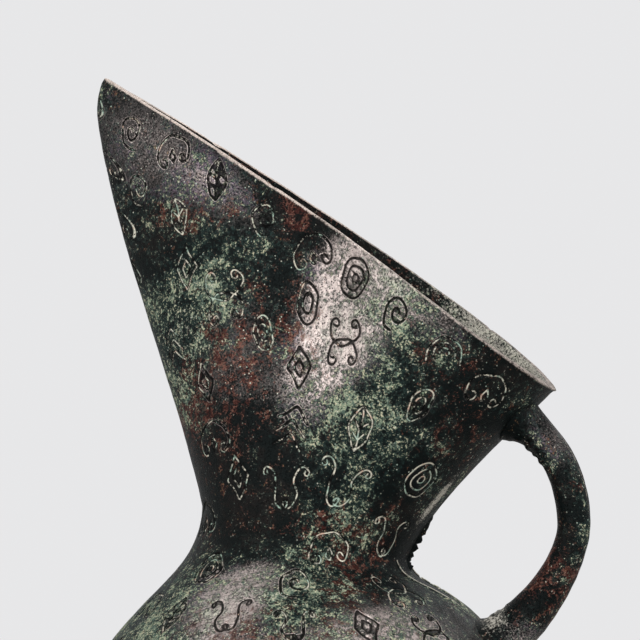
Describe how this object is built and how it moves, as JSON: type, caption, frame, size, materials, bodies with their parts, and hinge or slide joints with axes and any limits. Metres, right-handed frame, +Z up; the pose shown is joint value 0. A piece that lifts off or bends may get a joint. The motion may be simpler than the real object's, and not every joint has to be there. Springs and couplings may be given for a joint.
{
  "type": "bronze jue vessel",
  "caption": "Cast bronze pouring vessel with a tall beaked mouth, narrow waist, round belly, loop handle at the back and tapering legs.",
  "frame": {"origin": "on the axis of the waist and belly, on the plane that the three feet stand on", "axes": "+Z up, +X from the axis to the handle, -X to the beak, +Y to the far side"},
  "size_m": [0.1576, 0.144, 0.3286],
  "materials": {
    "body_patina": "cast bronze, near black with mint verdigris and red cuprite patches, satin",
    "handle_patina": "cast bronze, dark green-black with mint specks, satin",
    "leg_patina": "cast bronze, dark green-black, dull",
    "rivet_bronze": "hammered bronze, brown, satin"
  },
  "bodies": {
    "root": {"vessel_body": "body_patina", "loop_handle": "handle_patina", "upper_handle_rivet": "rivet_bronze", "lower_handle_rivet": "rivet_bronze", "handle_side_leg": "leg_patina", "near_beak_leg": "leg_patina", "far_beak_leg": "leg_patina", "leg_rivets": "rivet_bronze"}
  },
  "joints": []
}
